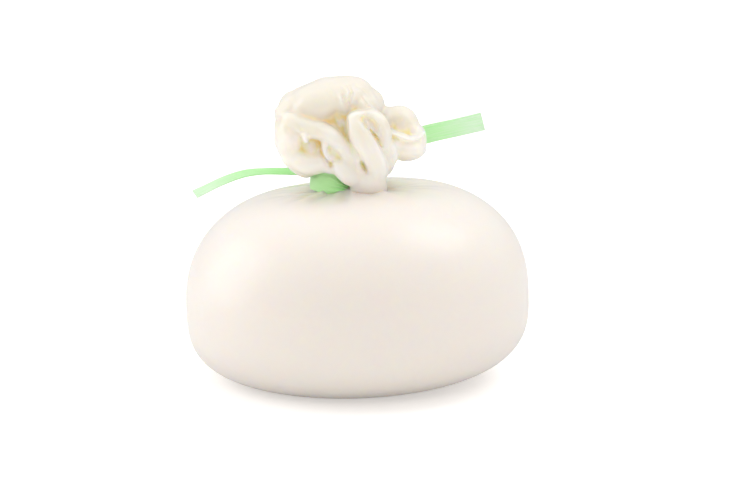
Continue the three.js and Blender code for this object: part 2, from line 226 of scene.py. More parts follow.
def gather(x, y):
    """Height of the gathered top at x, y from the neck: a broad hollow that fades with the
    cube of the distance, two faint waves round the neck, and PLEATS (bearing in degrees, rise,
    half width in degrees, reach) that run in to it. Most pleats sink, and some rise."""
    distance = np.hypot(x, y)
    angle = np.arctan2(y, x)
    hollow = HOLLOW_DEPTH * np.exp(-((distance / HOLLOW_REACH) ** 3))
    waves = np.cos(PLEAT_COUNT * angle + 0.5 * np.sin(3 * angle))
    waves += FINE_PLEAT_SHARE * np.cos(FINE_PLEAT_COUNT * angle + 2)
    waves *= PLEAT_HEIGHT * np.exp(-(((distance - PLEAT_RADIUS) / PLEAT_REACH) ** 2))
    height = waves - hollow
    for bearing, rise, half_width, reach in PLEATS:
        turn = np.angle(np.exp(1j * (angle - math.radians(bearing))))
        across = turn / math.radians(half_width) * np.sqrt(distance.clip(1) / PLEAT_RADIUS)
        fade = np.exp(-((distance / reach) ** 3))
        height += rise * fade * np.exp(-(across ** 2))
    return height


def ring_faces(rings, sides):
    """Quads between rings of points, and triangles to a first and a last pole. The points are
    the rings in order, then the first pole, then the last."""
    row = np.arange(rings - 1)[:, None] * sides
    here = np.arange(sides)[None, :]
    there = (here + 1) % sides
    quads = np.stack([row + here, row + sides + here, row + sides + there, row + there], axis=-1)
    here, there = here[0], there[0]
    first = np.stack([np.full(sides, rings * sides), here, there], axis=-1)
    last_row = (rings - 1) * sides
    last = np.stack([np.full(sides, rings * sides + 1), last_row + there, last_row + here], axis=-1)
    return quads.reshape(-1, 4).tolist() + first.tolist() + last.tolist()


def pouch_form():
    """Superellipse of latitude times circle of longitude, leaned, gathered and pressed flat:
    x = a cos(lat)^p cos(lon), y = b cos(lat)^p sin(lon), z = h sin(lat)^p, with h and p for
    the crown and for the belly, and p running from a left value to a right one. The rows
    crowd towards the top, where the pleats are."""
    step = np.linspace(0.0, 1.0, BODY_ROWS + 1)[1:-1, None]
    latitude = math.pi / 2 - math.pi * ((1 - ROW_CROWDING) * step + ROW_CROWDING * step ** 2)
    longitude = np.linspace(0, 2 * math.pi, BODY_SIDES, endpoint=False)[None, :]
    rightness = (1 + np.cos(longitude)) / 2
    crown = CROWN_EXPONENTS[0] + (CROWN_EXPONENTS[1] - CROWN_EXPONENTS[0]) * rightness
    belly = BELLY_EXPONENTS[0] + (BELLY_EXPONENTS[1] - BELLY_EXPONENTS[0]) * rightness
    power = 2 / np.where(latitude < 0, belly, crown)
    reach = np.cos(latitude) ** power
    height = np.where(latitude < 0, BELLY_HEIGHT, CROWN_HEIGHT)
    x = BODY_LENGTH / 2 * reach * np.cos(longitude)
    y = BODY_DEPTH / 2 * reach * np.sin(longitude)
    z = signed_power(np.sin(latitude), power) * height
    skin = np.stack([x, y, z], axis=-1).reshape(-1, 3)
    skin = np.vstack([skin, [[0, 0, CROWN_HEIGHT], [0, 0, -BELLY_HEIGHT]]])
    cosine, sine = math.cos(BODY_LEAN), math.sin(BODY_LEAN)
    leaned = skin.copy()
    leaned[:, 0] = skin[:, 0] * cosine - skin[:, 2] * sine
    leaned[:, 2] = skin[:, 0] * sine + skin[:, 2] * cosine + BELLY_HEIGHT
    upper = leaned[:, 2] > BELLY_HEIGHT
    lift = gather(leaned[:, 0] - TIE[0] - NECK_OFFSET, leaned[:, 1])
    leaned[:, 2] += np.where(upper, lift, 0.0)
    leaned[:, 2] = np.maximum(leaned[:, 2] - BASE_SINK, 0.0)
    return leaned, ring_faces(BODY_ROWS - 1, BODY_SIDES)


# ---- Head -------------------------------------------------------------------------------
# The sheet of curd above the tie, folded down over itself while warm: a smooth dome, rolls and
# lobes in front, a cupped ear on the right and broad folds behind. It is one skin with the
# pouch. Places in the head are measured from the tie's centre.

WRAP_CENTRE = -1.2
NECK_RADIUS = 8.2
FOLD_SIDES = 40
FOLD_STEPS = 64
LUMP_SIDES = 64
LUMP_STEPS = 40
VOXEL = 0.36
SMOOTHING = 6
SMOOTHING_FACTOR = 0.5
# strokes, which move only skin that faces the viewer
SEEN_SLOPE = math.tan(CAMERA_HEIGHT_ANGLE)
STROKE_STEPS = 48
STROKE_MARGIN = 3.0
SHARPNESS = 1.5
FACING_START = 0.05
FACING_SPAN = 0.3
FRONT_LIMIT = 2.0
# the soft unevenness of the whole head
WAVES = 40
WAVE_LENGTHS = (4.5, 11.0)
WAVE_HEIGHT = 0.16
WAVE_SEED = 7


def smooth_path(points, t):
    """Catmull-Rom curve through the points, at the fractions t of their chord length."""
    reach = np.r_[0, np.cumsum(np.linalg.norm(np.diff(points, axis=0), axis=1))]
    ends = np.vstack([2 * points[0] - points[1], points, 2 * points[-1] - points[-2]])
    place = t * reach[-1]
    i = np.clip(np.searchsorted(reach, place, side="right") - 1, 0, len(points) - 2)
    f = ((place - reach[i]) / (reach[i + 1] - reach[i]))[:, None]
    a, b, c, d = ends[i], ends[i + 1], ends[i + 2], ends[i + 3]
    return 0.5 * (2 * b + (c - a) * f + (2 * a - 5 * b + 4 * c - d) * f ** 2
                  + (3 * b - a - 3 * c + d) * f ** 3)


def fold(stations, depth_axis=(0, 1, 0), blunt=4.0, square=2.4):
    """A unit ball bent along the path through stations [x, y, z, half thickness, half depth]:
    point = path(t) + taper(t) (thickness cos^p side + depth sin^p deep), with p = 2 / square
    and taper = (1 - |2t - 1|^blunt)^(1 / blunt)."""
    stations = np.asarray(stations, float)
    t = 0.5 - 0.5 * np.cos(np.linspace(0, math.pi, FOLD_STEPS + 1))
    points = stations[:, :3]
    reach = np.r_[0, np.cumsum(np.linalg.norm(np.diff(points, axis=0), axis=1))]
    reach /= reach[-1]
    centre = smooth_path(points, t)
    nudge = 1e-3
    tangent = smooth_path(points, np.clip(t + nudge, 0, 1))
    tangent -= smooth_path(points, np.clip(t - nudge, 0, 1))
    tangent /= np.linalg.norm(tangent, axis=1)[:, None]
    axis = np.asarray(depth_axis, float)[None, :]
    deep = axis - (axis * tangent).sum(axis=1)[:, None] * tangent
    deep /= np.linalg.norm(deep, axis=1)[:, None]
    side = np.cross(tangent, deep)
    taper = np.clip(1 - np.abs(2 * t - 1) ** blunt, 0, 1) ** (1 / blunt)
    thickness = (np.interp(t, reach, stations[:, 3]) * taper)[1:-1, None, None]
    depth = (np.interp(t, reach, stations[:, 4]) * taper)[1:-1, None, None]
    angle = np.linspace(0, 2 * math.pi, FOLD_SIDES, endpoint=False)
    across = signed_power(np.cos(angle), 2 / square)[None, :, None]
    inward = signed_power(np.sin(angle), 2 / square)[None, :, None]
    rings = (centre[1:-1, None] + thickness * across * side[1:-1, None]
             + depth * inward * deep[1:-1, None])
    points = np.vstack([rings.reshape(-1, 3), centre[:1], centre[-1:]])
    return points, ring_faces(FOLD_STEPS - 1, FOLD_SIDES)


def lump(centre, half, turn=(0, 0)):
    """An ellipsoid: centre + turned (half sizes times a unit ball). The turns are degrees
    about X and then about Y."""
    latitude = np.linspace(math.pi / 2, -math.pi / 2, LUMP_STEPS + 1)[1:-1, None]
    longitude = np.linspace(0, 2 * math.pi, LUMP_SIDES, endpoint=False)[None, :]
    ball = np.stack([np.cos(latitude) * np.cos(longitude), np.cos(latitude) * np.sin(longitude),
                     np.sin(latitude) + 0 * longitude], axis=-1).reshape(-1, 3)
    ball = np.vstack([ball, [[0, 0, 1], [0, 0, -1]]]) * np.asarray(half, float)
    spin = np.array(Euler((math.radians(turn[0]), math.radians(turn[1]), 0)).to_matrix())
    return ball @ spin.T + np.asarray(centre, float), ring_faces(LUMP_STEPS - 1, LUMP_SIDES)


def tie_channel(inner=8.0, outer=9.7, low=-2.7, high=4.6, sides=96):
    """The free ring round the neck where the ribbon lies: a rectangle carried round a circle
    about the neck."""
    angle = np.linspace(0, 2 * math.pi, sides, endpoint=False)
    section = np.array([(inner, low), (outer, low), (outer, high), (inner, high)])
    x = WRAP_CENTRE + section[None, :, 0] * np.cos(angle)[:, None]
    y = section[None, :, 0] * np.sin(angle)[:, None]
    z = section[None, :, 1] + 0 * angle[:, None]
    i = np.arange(sides)[:, None] * 4
    j = (np.arange(sides)[:, None] + 1) % sides * 4
    k = np.arange(4)[None, :]
    n = (k + 1) % 4
    quads = np.stack([i + k, j + k, j + n, i + n], axis=-1).reshape(-1, 4)
    return np.stack([x, y, z], axis=-1).reshape(-1, 3), quads.tolist()


def gather_forms(name, forms, place):
    """One mesh object from several closed forms, moved to place, in metres."""
    points, faces, count = [], [], 0
    for form_points, form_faces in forms:
        points.append(form_points)
        faces += [[corner + count for corner in face] for face in form_faces]
        count += len(form_points)
    return new_mesh_object(name, (np.vstack(points) + place) * MM, faces)


def read_skin(mesh):
    """The mesh's points, in metres, and its normals, each as rows of three."""
    points = np.empty(len(mesh.vertices) * 3)
    mesh.vertices.foreach_get("co", points)
    normals = np.empty(len(points))
    mesh.vertex_normals.foreach_get("vector", normals)
    return points.reshape(-1, 3), normals.reshape(-1, 3)


def press_strokes(mesh, strokes):
    """Each stroke moves the skin in front to the viewer by height * exp(-(d / w)^SHARPNESS),
    with d the distance, as seen from the front, to a smooth path of stations [x, v, half
    width w, height], where v = z + y * SEEN_SLOPE. Skin that faces away isn't moved."""
    points, normals = read_skin(mesh)
    local = points / MM - TIE
    seen = np.stack([local[:, 0], local[:, 2] + local[:, 1] * SEEN_SLOPE], axis=1)
    towards = -normals[:, 1] + normals[:, 2] * SEEN_SLOPE
    facing = np.clip((towards - FACING_START) / FACING_SPAN, 0, 1)
    facing *= local[:, 1] < FRONT_LIMIT
    lift = np.zeros(len(points))
    t = np.linspace(0, 1, STROKE_STEPS)
    for stations in strokes:
        stations = np.array(stations)
        reach = np.r_[0, np.cumsum(np.linalg.norm(np.diff(stations[:, :2], axis=0), axis=1))]
        path = smooth_path(stations[:, :2], t)
        width = np.interp(t, reach / reach[-1], stations[:, 2])
        height = np.interp(t, reach / reach[-1], stations[:, 3])
        off_middle = np.abs(seen - path.mean(axis=0)).max(axis=1)
        near = np.flatnonzero(off_middle < reach[-1] + STROKE_MARGIN)
        gap = np.linalg.norm(seen[near, None] - path[None], axis=2)
        best = gap.argmin(axis=1)
        nearest = gap[np.arange(len(near)), best]
        lift[near] += height[best] * np.exp(-((nearest / width[best]) ** SHARPNESS))
    points += np.array(towards_camera)[None] * (lift * facing * MM)[:, None]
    mesh.vertices.foreach_set("co", points.ravel())
    mesh.update()


def roughen(mesh):
    """Soft unevenness: the skin moves along its normal by a sum of plane waves with seeded
    directions, each of height WAVE_HEIGHT / sqrt(number of waves)."""
    points, normals = read_skin(mesh)
    chance = np.random.default_rng(WAVE_SEED)
    directions = chance.normal(size=(WAVES, 3))
    directions /= np.linalg.norm(directions, axis=1)[:, None]
    lengths = chance.uniform(*WAVE_LENGTHS, WAVES)
    phases = chance.uniform(0, 2 * math.pi, WAVES)
    waves = np.sin(points / MM @ (directions / lengths[:, None] * 2 * math.pi).T + phases)
    points += normals * (waves.sum(axis=1) * WAVE_HEIGHT / math.sqrt(WAVES) * MM)[:, None]
    mesh.vertices.foreach_set("co", points.ravel())
    mesh.update()


def settle(made):
    """The object's modifiers become its mesh."""
    shown = made.evaluated_get(bpy.context.evaluated_depsgraph_get())
    mesh = bpy.data.meshes.new_from_object(shown)
    made.modifiers.clear()
    made.data = mesh


def fuse(made, voxel):
    """Overlapping closed forms become one skin on a grid of voxels."""
    skin = made.modifiers.new("fuse", "REMESH")
    skin.mode = "VOXEL"
    skin.voxel_size = voxel * MM
    settle(made)


def combine(made, other, operation):
    """A Boolean with another object, which is then removed."""
    tool = made.modifiers.new(operation.lower(), "BOOLEAN")
    tool.operation = operation
    tool.solver = "MANIFOLD"
    tool.object = other
    settle(made)
    bpy.data.objects.remove(other)


# the drawn neck inside the tie, and the gathered curd that the folds lie on
neck = fold([
    [WRAP_CENTRE, 0, -10, NECK_RADIUS, NECK_RADIUS],
    [WRAP_CENTRE, 0, 8, NECK_RADIUS, NECK_RADIUS],
], blunt=10, square=2)
core = lump([0.4, 1.5, 9.6], [10.5, 9.5, 8.8])
# the smooth crown, and the full left side under it
dome = [
    lump([-5.5, 0, 21.2], [12.8, 13, 6.4], (0, -15)),
    lump([2.8, 1.5, 20.6], [6.9, 12, 5.7], (0, 8)),
]
left_cheek = [
    lump([-11.8, -2, 12.3], [7.7, 9.2, 6.6]),
    lump([-9.9, -1.5, 8.3], [7.4, 9, 7]),
    lump([-15, -3.8, 11.4], [3.8, 8.3, 5.2]),
    lump([-15.2, -4, 14.5], [4, 8.4, 5.5]),
    lump([-16, -2, 18.7], [3.2, 7.6, 3]),
    lump([-14.5, 0.2, 20.1], [4, 9.4, 3.7], (0, -30)),
    lump([-14.2, -6.2, 12.9], [4.3, 7.2, 4.8]),
]
# the roll that comes round the left side, crosses the front and ends at the tie
long_roll = [
    fold([
        [-7, 12, 17.5, 1.8, 2],
        [-12.5, 10, 16.5, 2.2, 3],
        [-15.5, 4, 15.6, 2.4, 3],
        [-15.9, -3, 15.2, 2.4, 3.4],
        [-14.3, -8, 16.6, 2.3, 3.6],
    ], depth_axis=(1, 0.4, 0)),
    fold([
        [-16.7, -7.2, 18.2, 2, 3],
        [-13, -9.4, 17.1, 2.6, 4],
        [-9.5, -10.8, 16, 2.6, 4],
        [-5.7, -11.4, 14.9, 2.4, 4],
        [-2.6, -11.6, 12.8, 2.1, 4],
        [-0.2, -11.2, 9.7, 2.1, 4],
        [1.5, -11.2, 6.1, 2.3, 3.4],
        [2.9, -10.4, 1.8, 2.2, 2.6],
    ], square=2.7),
]
# the lobe under the roll, and the soft floor of the hollow between them
low_lobe = fold([
    [-15.3, -4.8, 9.5, 2.8, 5],
    [-13, -7.4, 7.5, 3.2, 5],
    [-10.1, -8.8, 6.4, 3.2, 5],
    [-6.9, -9.6, 6.4, 2.8, 4.6],
    [-4.2, -9.8, 5.5, 1.8, 3],
    [-2.7, -9.4, 5.2, 1.3, 2.4],
])
lobe_bridge = lump([-4.2, -11, 5.2], [2.3, 2.6, 1.5])
hollow_floor = lump([-9.1, -4.2, 10], [6.6, 7.4, 4.2])
# the small tongue that hangs from the roll's rim, and the curled lip with its cup
lip_tag = fold([
    [-10.8, -12.8, 14.5, 0.9, 2.2],
    [-10.6, -13.1, 13.3, 0.8, 2.2],
    [-10.3, -13, 12.5, 0.6, 2.2],
])
curl = [
    fold([
        [-5.4, -12.2, 13.9, 1.3, 3],
        [-5.8, -12.4, 11.6, 0.8, 3],
        [-5.5, -12.4, 9.8, 0.6, 3],
        [-4.3, -11.6, 8, 0.5, 3],
    ]),
    lump([-3.4, -9.2, 9.5], [3.4, 5, 3.4]),
]
# the blunt end of the roll beside the tie
chin = fold([
    [-1.3, -12.2, 7.6, 1.9, 3],
    [-1.4, -12.2, 5.9, 2.5, 3.6],
    [0.5, -11.8, 3.9, 2.9, 3.6],
    [2.5, -11.2, 1.8, 2.6, 3],
])
# the two legs of the hairpin fold, with the wall that closes its loop
hairpin_front = fold([
    [8, -9.6, 0.2, 2.2, 2.2],
    [8.2, -10.6, 3, 2.3, 3.2],
    [8, -11.6, 5.7, 2.4, 4],
    [6.8, -12.9, 8.7, 3.1, 4],
    [4.4, -13.7, 12.5, 2.9, 4],
    [2.7, -13.7, 15.6, 2.6, 4],
    [1.6, -13, 18.2, 1.8, 4],
    [2.7, -12.2, 19.8, 1, 4],
    [4.8, -11.6, 20.2, 0.7, 4],
], square=2.8)
hairpin_back = fold([
    [3.9, -11.6, 20, 0.9, 4],
    [6.3, -11.2, 19.8, 1.1, 4],
    [8.5, -10.8, 18.3, 1.3, 4],
    [9.7, -10.4, 15.9, 1.4, 4],
    [10.1, -9.8, 12.6, 1.5, 4],
    [10, -9.4, 9.5, 1.6, 4],
    [9.7, -9.4, 6.1, 1.9, 3.4],
    [9.1, -9.2, 2.1, 2.1, 2.6],
], square=2.6)
loop_wall = lump([6.3, -10.2, 15.9], [3.6, 4.9, 5.2], (0, -25))
# the floor of the pit under the dome, and the web between the roll and the hairpin
pit_floor = [
    lump([-2.6, -6.6, 16.3], [5.6, 4.1, 5.4]),
    lump([-0.1, -8.6, 13.2], [1.8, 3, 3.6]),
]
leg_web = fold([
    [1, -8.8, 12.2, 1, 4],
    [2, -10.8, 10.3, 1.6, 4],
    [3, -11.4, 7.6, 1.9, 4],
    [4, -10.4, 4.2, 1.8, 4],
])
# the hem of the hairpin that hangs over the tie to the pouch
bib = fold([
    [5.3, -10.4, 5.3, 4.6, 4],
    [5.4, -10.2, 2.8, 5.1, 4],
    [5.5, -9, -0.8, 5.1, 3.2],
    [5.5, -8.2, -4.9, 5.1, 2.6],
], blunt=8)
# the ear with its cup and the rim across it, and the strand that joins it to the hairpin
ear = [
    lump([13.7, 0.4, 13.9], [5.6, 6.8, 6.3]),
    lump([18.1, -1.5, 12], [2.8, 6.6, 4.3], (0, -8)),
    lump([15.9, -3, 9.5], [5, 7.6, 3.4], (0, -4)),
    lump([9.7, 0.5, 6.1], [3, 8.7, 4.6]),
    lump([10.8, 1, 15.9], [3, 6.5, 4]),
    fold([
        [10.8, -5.6, 14.8, 0.7, 3.1],
        [12, -6.7, 14.5, 0.7, 3.1],
        [13.8, -7.2, 13.7, 0.7, 3.1],
        [15.9, -7.3, 12.8, 0.7, 3.1],
        [17.6, -6.8, 12.8, 0.7, 3.1],
        [19, -4.9, 13.5, 0.7, 3.1],
    ]),
    lump([12.9, -3.2, 10.4], [4, 7.1, 3.6]),
]
strand = fold([
    [11, -9.6, 12.1, 0.9, 3],
    [12.2, -9.6, 10.4, 1, 3],
    [12.3, -9, 7.9, 1, 3],
    [11.2, -8.4, 5.5, 0.9, 3],
    [10.1, -7.6, 3.3, 0.8, 3],
])
# three broad folds behind
back_folds = [
    fold([
        [-4, 4, 3, 4.4, 4],
        [-10, 8.5, 7.5, 4.4, 4],
        [-12.5, 10.5, 12.5, 4.4, 4],
        [-10, 9, 18, 4.4, 4],
        [-5, 4, 22, 4.4, 4],
    ]),
    fold([
        [-1, 5, 3, 4.4, 3.8],
        [-1.5, 11, 7.5, 4.4, 3.8],
        [-1, 12.5, 14, 4.4, 3.8],
        [-1, 8, 21, 4.4, 3.8],
    ]),
    fold([
        [3, 5, 3, 4.2, 3.8],
        [6.5, 9.5, 7.5, 4.2, 3.8],
        [7, 11, 13, 4.2, 3.8],
        [5, 7, 18, 4.2, 3.8],
    ]),
]
# what is cut out: the pit, the slit under the hairpin and the one inside its loop
pit = fold([
    [-2.5, -15.5, 20.6, 1.9, 3],
    [-1.9, -15.3, 19, 2.3, 3.7],
    [-1.3, -16.1, 17.2, 1.8, 3.4],
    [-0.5, -16.8, 15.2, 1.1, 2.7],
    [0.5, -17.3, 13.4, 0.6, 2.2],
], blunt=3)
low_slit = lump([4.5, -17.5, 5.9], [0.9, 5.4, 2.5], (0, -26))
loop_slit = fold([
    [5.3, -15.7, 16.9, 0.3, 2.1],
    [6.5, -15.2, 15.4, 0.5, 2.6],
    [7.7, -14.8, 13.9, 0.5, 2.6],
    [8.9, -14.5, 12.2, 0.4, 2.3],
    [9.9, -14.1, 10.3, 0.2, 1.9],
], blunt=2.5)
# wide hollows and valleys, pressed in before the last fusing, and two raised rims
PRESSES = {
    "under_dome": [
        [-15.7, 19.6, 1.5, -0.4], [-13.3, 18.8, 2.03, -0.78], [-10.6, 17.8, 2.3, -0.8],
        [-7.6, 17.2, 2.35, -0.6], [-4.9, 17.0, 2.2, -0.3],
    ],
    "crevice": [
        [-16.3, 18.4, 0.5, -0.4], [-13.6, 17.3, 0.55, -0.55], [-11.2, 16.4, 0.6, -0.5],
        [-8.7, 15.7, 0.6, -0.32], [-6.3, 15.3, 0.6, -0.1],
    ],
    "pit_top": [
        [-4.8, 16.2, 1.2, -0.9], [-3.5, 17.1, 1.24, -1.7], [-2.6, 17.6, 1.22, -2.1],
        [-1.4, 17.1, 1.12, -1.5], [-0.2, 15.9, 0.9, -0.8],
    ],
    "pit_fall": [[-3.1, 15.7, 1.0, -0.6], [-1.7, 13.8, 0.9, -0.6], [-0.5, 11.6, 0.6, -0.3]],
    "slit_mouth": [[3.8, 4.5, 0.9, -0.4], [4.4, 2.8, 0.9, -0.6], [5.0, 1.4, 0.9, -0.4]],
    "hollow": [
        [-11.8, 9.9, 0.7, -0.4], [-11.3, 8.4, 0.85, -0.33], [-9.6, 8.1, 1.0, -0.45],
        [-8.1, 8.9, 1.0, -0.65], [-7.1, 9.3, 1.0, -0.8],
    ],
    "hollow_deep": [
        [-7.1, 9.9, 0.5, -0.8], [-6.9, 8.3, 0.47, -1.2], [-6.3, 6.5, 0.43, -1.3],
        [-4.3, 4.1, 0.4, -1.0],
    ],
    "lobe_notch": [[-4.2, 4.2, 0.45, -0.5], [-4.2, 3.1, 0.45, -0.8], [-4.5, 2.1, 0.45, -0.5]],
    "curl_cup": [[-4.7, 7.1, 1.3, -0.7], [-3.3, 6.6, 1.3, -1.0], [-1.8, 5.9, 0.8, -1.0]],
    "curl_side": [[-3.1, 9.3, 0.9, 0.4], [-1.2, 7.9, 0.9, 0.7], [-0.9, 6.2, 0.9, 0.4]],
    "leg_crease": [
        [0.6, 10.5, 0.55, -1.0], [1.3, 8.8, 0.52, -0.3], [2.4, 6.4, 0.48, -0.15],
        [3.4, 4.7, 0.45, -0.4],
    ],
    "leg_valley": [
        [3.4, 13.5, 0.9, -0.25], [5.6, 9.9, 0.9, -0.5], [7.6, 6.4, 0.9, -0.5],
        [8.4, 3.1, 0.9, -0.2],
    ],
    "loop_rim": [
        [3.4, 17.0, 0.5, 0.2], [3.6, 15.1, 0.5, 0.4], [5.1, 13.0, 0.5, 0.52],
        [6.8, 10.9, 0.5, 0.55], [8.8, 7.6, 0.5, 0.55], [10.0, 5.0, 0.5, 0.47],
        [10.3, 2.8, 0.5, 0.3],
    ],
    "loop_channel": [
        [7.8, 11.3, 0.6, -0.9], [8.7, 9.1, 0.6, -1.4], [9.7, 6.9, 0.6, -1.3],
        [10.7, 4.7, 0.6, -0.6],
    ],
    "loop_inside": [
        [4.8, 16.0, 1.3, -0.6], [6.0, 15.1, 1.7, -0.9], [7.2, 13.5, 1.7, -0.9],
        [8.0, 11.3, 1.2, -0.5],
    ],
    "dome_dent": [[1.3, 19.2, 1.2, -0.6], [2.4, 18.7, 1.3, -1.0], [3.6, 18.4, 1.0, -0.6]],
    "ear_cup": [
        [11.1, 14.0, 1.4, -1.5], [12.6, 13.7, 1.7, -1.8], [14.8, 13.0, 1.75, -1.5],
        [16.8, 12.4, 1.62, -1.1], [18.3, 12.8, 1.4, -0.6],
    ],
    "ear_cup_upper": [[11.7, 15.7, 1.6, -0.9], [13.7, 16.1, 1.6, -1.2], [15.9, 15.1, 1.6, -0.8]],
    "dome_band": [[-7.6, 24.1, 2.6, -0.3], [-6.8, 21.1, 2.6, -0.5], [-5.2, 17.8, 2.6, -0.3]],
}
# the seam of the dome, and fine wrinkles, crumples and puckers, drawn on the fused skin
STROKES = {
    "dome_seam": [
        [-0.5, 25.7, 0.45, -0.3], [0.6, 24.2, 0.47, -0.55], [1.2, 23.1, 0.5, -0.8],
        [0.7, 21.6, 0.53, -0.8], [0.3, 19.9, 0.55, -0.8],
    ],
    "seam_lip": [
        [-1.4, 24.9, 0.5, 0.25], [-0.1, 23.8, 0.5, 0.55], [0.3, 22.6, 0.5, 0.63],
        [-0.3, 21.1, 0.5, 0.5],
    ],
    "seam_knot_1": [[-1.7, 22.3, 0.4, -0.3], [-0.9, 21.6, 0.4, -0.7], [-0.5, 20.5, 0.4, -0.3]],
    "seam_knot_2": [[-2.5, 22.9, 0.45, 0.3], [-1.7, 21.1, 0.45, 0.6], [-1.4, 20.0, 0.45, 0.3]],
    "wrinkle_1": [
        [4.0, 23.3, 0.3, -0.25], [5.5, 21.4, 0.3, -0.6], [7.5, 19.2, 0.3, -0.5],
        [9.0, 17.2, 0.3, -0.25],
    ],
    "wrinkle_2": [
        [4.7, 24.3, 0.3, -0.2], [6.7, 22.0, 0.3, -0.4], [7.8, 20.8, 0.3, -0.4],
        [9.0, 18.9, 0.3, -0.2],
    ],
    "wrinkle_3": [[3.0, 22.9, 0.3, -0.2], [4.8, 20.5, 0.3, -0.55], [6.9, 18.2, 0.3, -0.25]],
    "wrinkle_4": [[6.8, 23.8, 0.3, -0.15], [8.0, 22.2, 0.3, -0.45], [9.0, 19.7, 0.3, -0.15]],
    "wrinkle_5": [[2.1, 25.4, 0.35, -0.15], [4.0, 24.1, 0.35, -0.4], [5.3, 22.6, 0.35, -0.15]],
    "loop_crumple_1": [[4.1, 16.3, 0.45, 0.3], [5.2, 15.1, 0.45, 0.85], [6.3, 13.9, 0.45, 0.3]],
    "loop_crumple_2": [[4.0, 15.4, 0.4, -0.3], [4.8, 14.0, 0.4, -0.8], [5.6, 13.2, 0.4, -0.3]],
    "loop_crumple_3": [[5.9, 16.3, 0.4, -0.3], [7.2, 14.8, 0.4, -0.75], [8.0, 12.7, 0.4, -0.3]],
    "loop_crumple_4": [[6.9, 16.2, 0.4, 0.25], [8.3, 14.6, 0.4, 0.65], [8.8, 12.4, 0.4, 0.25]],
    "loop_crumple_5": [[8.0, 12.4, 0.4, 0.1], [8.7, 10.2, 0.4, 0.3], [9.5, 7.8, 0.4, 0.1]],
    "pit_wall_1": [[-3.6, 16.7, 0.4, -0.15], [-3.1, 15.4, 0.4, -0.35], [-1.7, 13.5, 0.4, -0.15]],
    "pit_wall_2": [
        [-2.6, 17.0, 0.4, -0.3], [-1.4, 15.1, 0.4, -0.4], [-0.8, 12.7, 0.4, -0.35],
        [0.2, 10.2, 0.4, -0.3],
    ],
    "hollow_crumple_1": [
        [-12.1, 10.2, 0.4, -0.3], [-11.9, 8.6, 0.4, -0.6], [-10.9, 7.6, 0.4, -0.3],
    ],
    "hollow_crumple_2": [[-9.6, 9.7, 0.4, 0.3], [-9.2, 8.4, 0.4, 0.5], [-9.4, 7.3, 0.4, 0.2]],
    "hollow_crumple_3": [
        [-8.2, 9.9, 0.35, -0.3], [-7.9, 8.7, 0.35, -0.6], [-8.1, 7.5, 0.35, -0.3],
    ],
    "wrinkle_6": [
        [1.8, 25.7, 0.28, -0.1], [4.7, 23.3, 0.28, -0.3], [6.7, 21.0, 0.28, -0.4],
        [8.6, 18.2, 0.28, -0.2],
    ],
    "wrinkle_7": [[4.8, 25.1, 0.28, -0.1], [7.5, 22.0, 0.28, -0.35], [9.1, 19.3, 0.28, -0.1]],
    "seam_ridge": [
        [2.2, 25.8, 0.35, 0.1], [1.3, 24.2, 0.35, 0.35], [2.1, 22.3, 0.35, 0.35],
        [1.5, 20.5, 0.35, 0.15],
    ],
    "fan_ridge_1": [[3.4, 24.3, 0.3, 0.1], [5.1, 22.0, 0.3, 0.3], [6.4, 19.7, 0.3, 0.1]],
    "fan_ridge_2": [[5.7, 24.6, 0.3, 0.1], [7.2, 22.3, 0.3, 0.3], [8.4, 19.9, 0.3, 0.1]],
    "fan_ridge_3": [[0.2, 19.7, 0.35, 0.1], [1.3, 20.5, 0.35, 0.3], [2.6, 20.3, 0.35, 0.1]],
    "dome_pucker": [[-5.2, 25.1, 0.6, -0.1], [-4.1, 23.0, 0.6, -0.3], [-3.8, 20.5, 0.6, -0.1]],
    "roll_pucker_1": [
        [-12.2, 14.0, 0.45, -0.15], [-11.4, 12.7, 0.45, -0.35], [-10.9, 11.3, 0.45, -0.15],
    ],
    "roll_pucker_2": [[-7.7, 13.2, 0.4, -0.1], [-7.4, 11.8, 0.4, -0.3], [-6.9, 10.6, 0.4, -0.1]],
    "leg_pucker": [[-1.7, 8.6, 0.45, -0.1], [-0.4, 6.9, 0.45, -0.3], [0.4, 4.7, 0.45, -0.1]],
    "lobe_pucker": [[-12.3, 5.3, 0.5, -0.1], [-10.1, 4.6, 0.5, -0.25], [-7.7, 4.7, 0.5, -0.1]],
    "rolled_lip": [
        [-13.3, 12.7, 0.5, 0.15], [-11.5, 11.9, 0.5, 0.35], [-9.0, 11.3, 0.5, 0.35],
        [-6.7, 10.9, 0.5, 0.2],
    ],
    "ear_fold": [[12.1, 7.2, 0.8, -0.1], [14.5, 7.9, 0.8, -0.3], [17.5, 7.6, 0.8, -0.1]],
    "ear_pucker_1": [[11.8, 15.9, 0.5, -0.2], [12.5, 14.6, 0.5, -0.6], [12.8, 13.2, 0.5, -0.3]],
    "ear_pucker_2": [[14.5, 17.0, 0.5, 0.1], [14.8, 15.4, 0.5, 0.4], [14.5, 13.8, 0.5, 0.1]],
}


curd = gather_forms("curd_pouch", [
    neck, core, *dome, *left_cheek, *long_roll, low_lobe, lobe_bridge, hollow_floor, lip_tag,
    *curl, chin, hairpin_front, hairpin_back, loop_wall, *pit_floor, leg_web, bib, *ear, strand,
    *back_folds,
], TIE)
fuse(curd, VOXEL)
for cut in (pit, low_slit, loop_slit, tie_channel()):
    combine(curd, gather_forms("cut", [cut], TIE), "DIFFERENCE")
press_strokes(curd.data, PRESSES.values())
fuse(curd, VOXEL)
soften = curd.modifiers.new("soften", "SMOOTH")
soften.factor = SMOOTHING_FACTOR
soften.iterations = SMOOTHING
settle(curd)
roughen(curd.data)
press_strokes(curd.data, STROKES.values())
combine(curd, gather_forms("body", [pouch_form()], np.zeros(3)), "UNION")
curd.data.shade_smooth()

